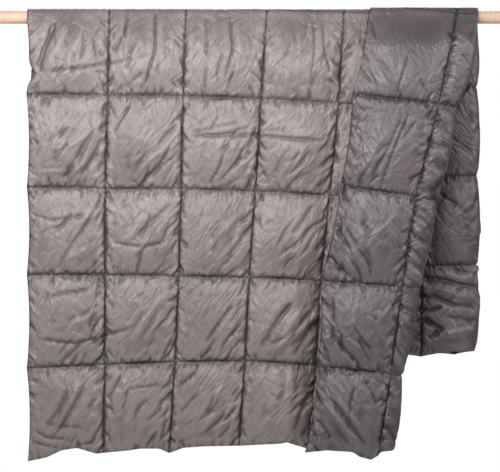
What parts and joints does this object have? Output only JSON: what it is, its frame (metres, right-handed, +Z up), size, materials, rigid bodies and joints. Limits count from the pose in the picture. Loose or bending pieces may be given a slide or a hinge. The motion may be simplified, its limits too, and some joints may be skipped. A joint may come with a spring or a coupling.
{
  "type": "quilted blanket on a wooden rod",
  "caption": "Box-quilted padded blanket draped over a round horizontal wooden rod, with one side margin folded onto its face so that the darker reverse shows.",
  "frame": {"origin": "the middle of the rod's axis, where the rod is held up", "axes": "+X along the rod to the right as seen from the front, +Z up, -Y toward the viewer, so the blanket's front faces -Y"},
  "size_m": [1.4, 0.2008, 1.1389],
  "materials": {
    "quilt_fabric": "fine plain-woven shell cloth with a soft satin sheen, taupe face and darker grey reverse",
    "rod_wood": "smooth sanded pale beech, clear matt oil"
  },
  "bodies": {
    "root": {"blanket": "quilt_fabric", "rod": "rod_wood"}
  },
  "joints": []
}
